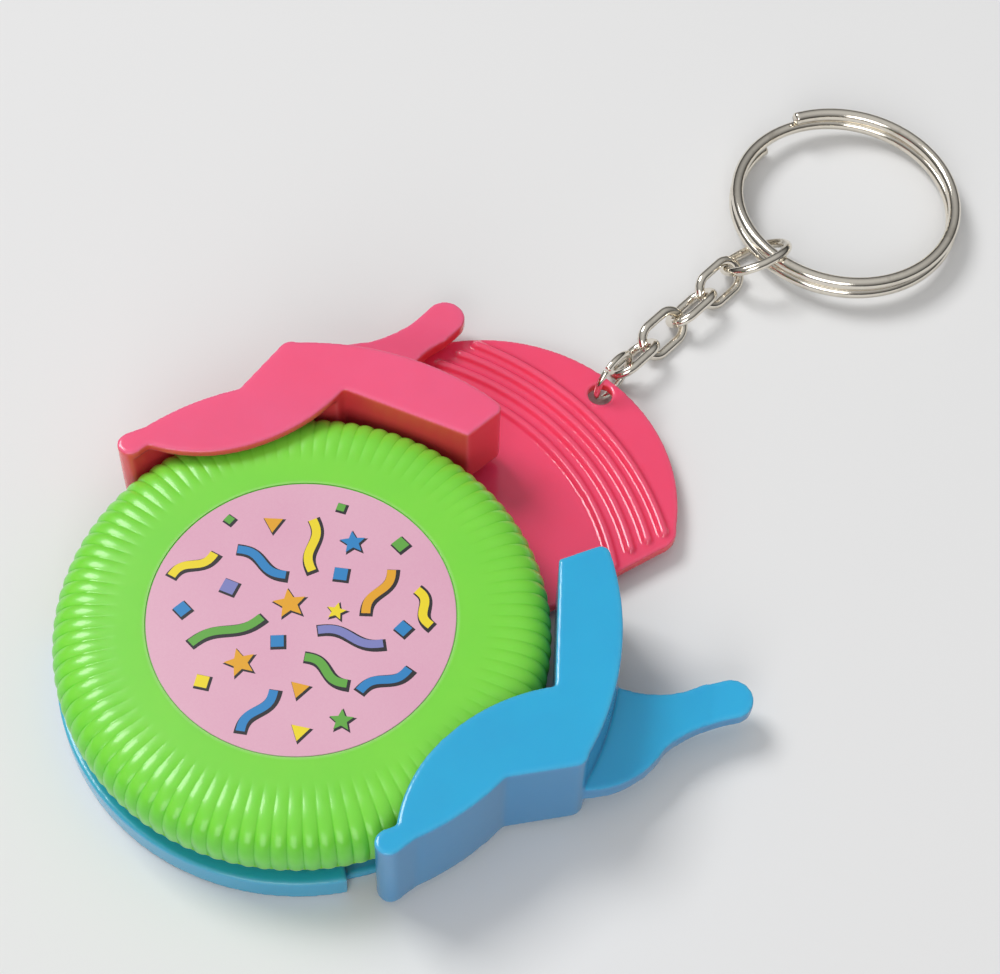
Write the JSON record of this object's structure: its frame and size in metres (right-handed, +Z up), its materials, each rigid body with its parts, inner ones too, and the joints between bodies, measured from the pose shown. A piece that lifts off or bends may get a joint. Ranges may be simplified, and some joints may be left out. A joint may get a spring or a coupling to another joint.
{
  "type": "key ring claw toy",
  "caption": "Pocket toy on a key ring: a ribbed disc held between two hooked claws that open like scissors when their finger levers are squeezed.",
  "frame": {"origin": "on the pivot axis, at the plane the base plate rests on", "axes": "+Z up along the pivot axis, +X along the middle of the grip fan towards the key ring"},
  "size_m": [0.1156, 0.061, 0.012],
  "materials": {
    "pink_plastic": "glossy moulded, slightly translucent",
    "blue_plastic": "glossy moulded, slightly translucent",
    "green_plastic": "glossy moulded, slightly translucent",
    "label_print": "printed film, confetti pattern",
    "chain_steel": "bright nickel plate",
    "shaft_steel": "turned steel",
    "spring_steel": "drawn spring wire"
  },
  "bodies": {
    "fan_frame": {"fan_plate": "pink_plastic", "fan_claw": "pink_plastic", "fan_claw_pins": "pink_plastic", "return_spring": "spring_steel"},
    "base_frame": {"base_plate": "blue_plastic", "base_claw": "blue_plastic", "base_claw_pins": "blue_plastic", "pivot_shaft": "shaft_steel", "retaining_washer": "shaft_steel", "retaining_screw": "shaft_steel"},
    "disc": {"disc_cover": "green_plastic", "disc_back": "green_plastic", "disc_label": "label_print"},
    "jump_ring": {"jump_ring": "chain_steel"},
    "link_1": {"chain_link_1": "chain_steel"},
    "link_2": {"chain_link_2": "chain_steel"},
    "link_3": {"chain_link_3": "chain_steel"},
    "link_4": {"chain_link_4": "chain_steel"},
    "end_link": {"end_link": "chain_steel"},
    "split_ring": {"split_ring": "chain_steel"}
  },
  "joints": [
    {"name": "claw_squeeze", "type": "hinge", "parent": "fan_frame", "child": "base_frame", "pos_m": [0, 0, 0], "axis": [0, 0, 1], "range_deg": [0, 29], "stiffness_Nm_per_rad": 0.02, "springref_deg": -34.38, "deforming": ["return_spring"]},
    {"name": "disc_spin", "type": "hinge", "parent": "base_frame", "child": "disc", "pos_m": [0, 0, 0.008], "axis": [0, 0, 1], "continuous": true},
    {"name": "jump_ring_swing", "type": "hinge", "parent": "fan_frame", "child": "jump_ring", "pos_m": [0.04439, 0.00015, 0.0032], "axis": [0.0698, -0.9976, 0], "range_deg": [0, 75]},
    {"name": "link_1_swing", "type": "hinge", "parent": "jump_ring", "child": "link_1", "pos_m": [0.04667, 0.0003, 0.00175], "axis": [0, 0, 1], "range_deg": [-30, 5]},
    {"name": "link_2_swing", "type": "hinge", "parent": "link_1", "child": "link_2", "pos_m": [0.04945, 0.00065, 0.00175], "axis": [0, 0.7071, 0.7071], "range_deg": [-30, 30]},
    {"name": "link_3_swing", "type": "hinge", "parent": "link_2", "child": "link_3", "pos_m": [0.05405, 0.00065, 0.00175], "axis": [0, -0.7071, 0.7071], "range_deg": [-30, 30]},
    {"name": "link_4_swing", "type": "hinge", "parent": "link_3", "child": "link_4", "pos_m": [0.05865, 0.00065, 0.00175], "axis": [0, 0.7071, 0.7071], "range_deg": [-30, 30]},
    {"name": "end_link_swing", "type": "hinge", "parent": "link_4", "child": "end_link", "pos_m": [0.06325, 0.00065, 0.00175], "axis": [0, -0.7071, 0.7071], "range_deg": [-20, 20]},
    {"name": "split_ring_swing", "type": "hinge", "parent": "end_link", "child": "split_ring", "pos_m": [0.06679, -0.00032, 0.00266], "axis": [0.1619, 0.6493, 0.7431], "range_deg": [-15, 30]}
  ]
}
